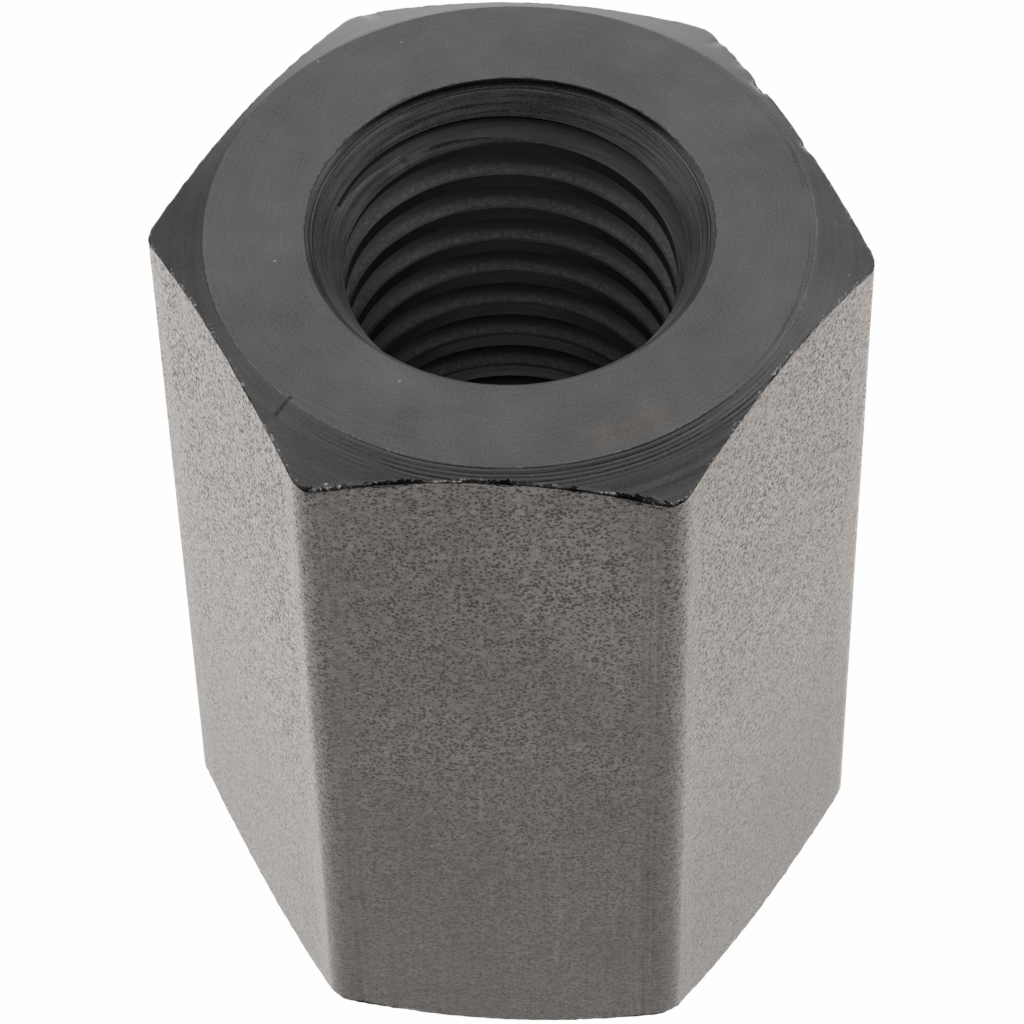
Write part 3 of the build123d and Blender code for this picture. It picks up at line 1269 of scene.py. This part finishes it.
@dataclass(frozen=True)
class TappedSteel(Finish):
    """The thread: flanks that the tap tore a little, palest beside the crests, with painted shade that
    darkens them towards the roots.
    """

    name: str = "tapped_steel"
    film: float = 0.25
    crest: Colour = grey(0.108, -0.05)
    flank: Colour = grey(0.195, -0.05)
    root_share: float = 1.05
    line_depth: float = 0.010
    tear_depth: float = 0.02
    grain_depth: float = 0.003
    darkest: float = 0.05
    crest_radius: float = 8.37
    root_radius: float = 9.525
    pitch: float = 2.54
    length: float = 48.0

    def material(self) -> bpy.types.Material:
        """Builds the material.

        Returns:
            The finish of the thread.
        """
        material, g, shader, place = self.start()
        x, y, z = g.split(place)
        radius = g.length(g.product(place, (1.0, 1.0, 0.0)))
        across, ahead = x / radius, y / radius
        to_end = z.at_most(self.length - z)
        into = (radius - self.crest_radius) / (self.root_radius - self.crest_radius)
        on_crest = into.ramp(0.11, 0.04)
        # Painted shade: the flanks darken from beside the crests down to the roots, where the tearing also
        # fades out
        tear_and_painted_root_shade_fade = into.ramp(0.75, 0.15)

        # Only the flank of the first turn, which the tool for the mouth has smoothed, isn't torn
        angle = g.node("ShaderNodeMath", {"operation": "ARCTAN2"}, {0: x, 1: y})
        smooth = (to_end - angle * (self.pitch / (2 * math.pi))).ramp(3.5, 3.0)
        lines = g.noise(g.product(g.vector(z, across, ahead), (12.0, 1.5, 1.5)), 1.0, 2.0, 0.75) - 0.5
        mottle = g.noise(g.product(place, (1.0, 1.0, 1.5)), 3.6, 2.0, 0.75)
        grain = g.noise(place, 12.0, 1.0, 0.6) - 0.5
        torn = 0.58 + mottle.ramp(0.42, 0.64, 0.42) * tear_and_painted_root_shade_fade
        # The smoothed first flank gets painted shade towards its root and painted light at the back of the
        # bore
        plain = tear_and_painted_root_shade_fade * (0.12 + ahead.ramp(0.5, 0.98, 0.12)) + 0.8 * lines * tear_and_painted_root_shade_fade + 0.26
        flank = (self.root_share + (1.0 - self.root_share) * tear_and_painted_root_shade_fade) * torn
        # Painted shade on the flanks at the left side of the bore
        flank = flank * (1.0 - across.ramp(-0.6, -1.0, 0.3))
        flank = flank + smooth * (plain - flank)
        # Painted shade: the crests are painted darker deeper in the bore
        deep = 0.70 + to_end.ramp(15.0, 5.0, 0.35)
        shade = flank + on_crest * (deep + 1.5 * lines - flank) + 0.15 * grain
        torn_relief = mottle * (1.0 - on_crest) * (1.0 - smooth) * self.tear_depth
        changing = {
            "Base Color": g.scale(g.blend(on_crest, self.flank, self.crest), shade.at_least(self.darkest)),
            "Roughness": 0.56 + 0.16 * (mottle - 0.5) + 0.1 * grain,
        }
        relief = lines * on_crest * self.line_depth + torn_relief + grain * self.grain_depth
        self.finish(g, shader, changing, relief)
        return material


@dataclass
class NutBody:
    """The whole nut: the outer skin and the threaded bore, joined into one closed mesh."""

    sizes: NutSizes
    columns: Columns
    skin: OuterSkin
    bore: ThreadedBore
    finishes: Dict[Part, bpy.types.Material]
    sharp_angle: float = 24.0
    weld: float = 0.002

    def join(self) -> bmesh.types.BMesh:
        """Joins the two meshes at the rims of the bore.

        Returns:
            The joined mesh, with each face's material index in the order of Part.
        """
        joined = bmesh.new()
        joined.from_mesh(self.skin.build())
        skin_faces = len(joined.faces)
        bore = self.bore.build()
        slots = {material.name: part.value for part, material in self.finishes.items()}
        wanted = [slots.get(material.name if material else "", 0) for material in bore.materials]
        joined.from_mesh(bore)
        joined.faces.ensure_lookup_table()
        for face in joined.faces[skin_faces:]:
            face.material_index = wanted[face.material_index]
        rims = [vertex for vertex in joined.verts if vertex.is_boundary]
        bmesh.ops.remove_doubles(joined, verts=rims, dist=self.weld * MM)
        return joined

    def build(self) -> bpy.types.Object:
        """Makes the nut's object, dressed and in place.

        Returns:
            The object.
        """
        joined = self.join()
        bmesh.ops.recalc_face_normals(joined, faces=joined.faces)
        limit = math.radians(self.sharp_angle)
        open_edges = 0
        for edge in joined.edges:
            if len(edge.link_faces) == 2:
                edge.smooth = edge.calc_face_angle() < limit
            else:
                open_edges += 1
        for face in joined.faces:
            face.smooth = True
        mesh = bpy.data.meshes.new("coupling_nut")
        joined.to_mesh(mesh)
        joined.free()
        for part in Part:
            mesh.materials.append(self.finishes[part])
        nut = bpy.data.objects.new("coupling_nut", mesh)
        bpy.context.scene.collection.objects.link(nut)
        mesh.calc_loop_triangles()
        log.info("%s: %d triangles, %d open edges", nut.name, len(mesh.loop_triangles), open_edges)
        return nut


@dataclass(frozen=True)
class Lamp:
    """A square soft lamp that faces the middle of the nut."""

    name: str
    azimuth: float
    elevation: float
    distance: float
    side: float
    power: float

    def build(self, target: Vector) -> bpy.types.Object:
        """Hangs the lamp.

        Args:
            target: What it faces.

        Returns:
            The lamp's object.
        """
        data = bpy.data.lights.new(self.name, "AREA")
        data.size = self.side
        data.energy = self.power
        lamp = bpy.data.objects.new(self.name, data)
        bpy.context.scene.collection.objects.link(lamp)
        turn, lift = math.radians(self.azimuth), math.radians(self.elevation)
        out = Vector((math.sin(turn) * math.cos(lift), -math.cos(turn) * math.cos(lift), math.sin(lift)))
        lamp.location = target + out * self.distance
        lamp.rotation_euler = out.to_track_quat("Z", "Y").to_euler()
        lamp.visible_camera = False
        return lamp


@dataclass(frozen=True)
class Camera:
    """The camera that took the photograph, as solved from the nut's edges. Angles are in degrees."""

    azimuth: float = -4.6267
    elevation: float = 51.6462
    roll: float = -1.3249
    place: Point = (12.96, -162.82, 231.77)
    lens: float = 174.37
    sensor: float = 36.0
    clip: Span = (0.01, 50.0)

    def build(self) -> bpy.types.Object:
        """Makes the scene's camera.

        Returns:
            The camera's object.
        """
        turn, lift, roll = (math.radians(a) for a in (self.azimuth, self.elevation, self.roll))
        ahead = Vector((math.sin(turn) * math.cos(lift), math.cos(turn) * math.cos(lift), -math.sin(lift)))
        right = ahead.cross(Vector((0, 0, 1))).normalized()
        up = right.cross(ahead)
        across = math.cos(roll) * right + math.sin(roll) * up
        upward = math.cos(roll) * up - math.sin(roll) * right
        data = bpy.data.cameras.new("camera")
        data.lens = self.lens
        data.sensor_width = self.sensor
        data.clip_start, data.clip_end = self.clip
        camera = bpy.data.objects.new("camera", data)
        bpy.context.scene.collection.objects.link(camera)
        axes = Matrix((across, upward, -ahead)).transposed()
        camera.matrix_world = Matrix.Translation(Vector(self.place) * MM) @ axes.to_4x4()
        bpy.context.scene.camera = camera
        return camera


@dataclass
class Studio:
    """The pale floor, the soft light and the camera."""

    floor_side: float = 4.0
    floor_gap: float = 0.01
    floor_colour: Colour = grey(0.80)
    floor_roughness: float = 0.9
    camera_share: float = 0.98
    glossy_share: float = 1.0
    low_level: float = 0.25
    high_level: float = 0.88
    toward: Point = (0.08, 0.50, 0.862)
    level_start: float = 0.38
    lamps: Tuple[Lamp, ...] = (
        Lamp("left_lamp", -90.0, 25.0, 0.45, 0.5, 0.3),
        Lamp("right_lamp", 90.0, 25.0, 0.45, 0.5, 0.3),
    )

    def shown(self, g: Graph) -> Signal:
        """How much of the plain white background a ray sees, instead of the lit surface.

        Args:
            g: The graph of the floor or the world.

        Returns:
            The share.
        """
        rays = g.node("ShaderNodeLightPath", {}, {}, "Is Camera Ray")
        shiny = g.other(rays, "Is Glossy Ray").at_least(g.other(rays, "Is Transmission Ray"))
        return rays * self.camera_share + shiny * self.glossy_share * (1.0 - rays)

    def floor(self) -> bpy.types.Object:
        """Lays the floor under the nut. It can be looked through from below.

        Returns:
            The floor's object.
        """
        half = self.floor_side / 2
        drop = -self.floor_gap * MM
        corners = [(-half, -half, drop), (half, -half, drop), (half, half, drop), (-half, half, drop)]
        mesh = bpy.data.meshes.new("floor")
        mesh.from_pydata(corners, [], [(0, 1, 2, 3)])
        material = bpy.data.materials.new("pale_floor")
        material.use_nodes = True
        g = Graph(material.node_tree)
        lit = material.node_tree.nodes["Principled BSDF"]
        lit.inputs["Base Color"].default_value = self.floor_colour
        lit.inputs["Roughness"].default_value = self.floor_roughness
        white = g.node("ShaderNodeEmission", {}, {"Color": grey(1.0), "Strength": 1.0})
        mixed = g.node("ShaderNodeMixShader", {}, {0: self.shown(g), 1: Signal(g, lit.outputs[0]), 2: white})
        under = g.node("ShaderNodeNewGeometry", {}, {}, "Backfacing")
        clear = g.node("ShaderNodeBsdfTransparent", {}, {})
        mixed = g.node("ShaderNodeMixShader", {}, {0: under, 1: mixed, 2: clear})
        g.tree.links.new(mixed.socket, material.node_tree.nodes["Material Output"].inputs["Surface"])
        mesh.materials.append(material)
        floor = bpy.data.objects.new("floor", mesh)
        bpy.context.scene.collection.objects.link(floor)
        return floor

    def world(self) -> None:
        """Gives the world a soft light, brighter high up behind the nut, which the camera sees as white."""
        world = bpy.data.worlds.new("studio")
        world.use_nodes = True
        bpy.context.scene.world = world
        g = Graph(world.node_tree)
        ahead = g.node("ShaderNodeTexCoord", {}, {}, "Generated")
        facing = g.vector_math("DOT_PRODUCT", (ahead, self.toward), "Value")
        level = self.low_level + facing.ramp(self.level_start, 1.0, self.high_level - self.low_level)
        camera = g.node("ShaderNodeLightPath", {}, {}, "Is Camera Ray")
        strength = level + camera * (1.0 - level)
        background = world.node_tree.nodes["Background"]
        background.inputs["Color"].default_value = grey(1.0)
        g.tree.links.new(strength.socket, background.inputs["Strength"])

    def build(self, target: Vector) -> None:
        """Builds the whole studio.

        Args:
            target: The middle of the nut.
        """
        self.floor()
        self.world()
        for lamp in self.lamps:
            lamp.build(target)
        Camera().build()
        bpy.context.scene.view_settings.view_transform = "Standard"


def main() -> None:
    """Builds the nut and the studio."""
    logging.basicConfig(level=logging.INFO, format="%(name)s: %(message)s")
    sizes = sizes_from_frame()
    columns = Columns()
    finishes = {
        Part.FLATS: DrawnSteel(length=sizes.length).material(),
        Part.TURNED: TurnedSteel(
            rim_radius=sizes.rim_radius, mouth_radius=sizes.mouth_radius, length=sizes.length
        ).material(),
        Part.THREAD: TappedSteel(crest_radius=sizes.crest_radius, length=sizes.length).material(),
    }
    skin = OuterSkin(sizes, columns)
    bore = ThreadedBore(sizes, columns, finishes[Part.THREAD], finishes[Part.TURNED])
    nut = NutBody(sizes, columns, skin, bore, finishes).build()
    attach(nut, BODY)
    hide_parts(NUT_NODE)
    low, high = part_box(NUT_NODE)
    Studio().build((low + high) / 2)


if __name__ == "__main__":
    main()
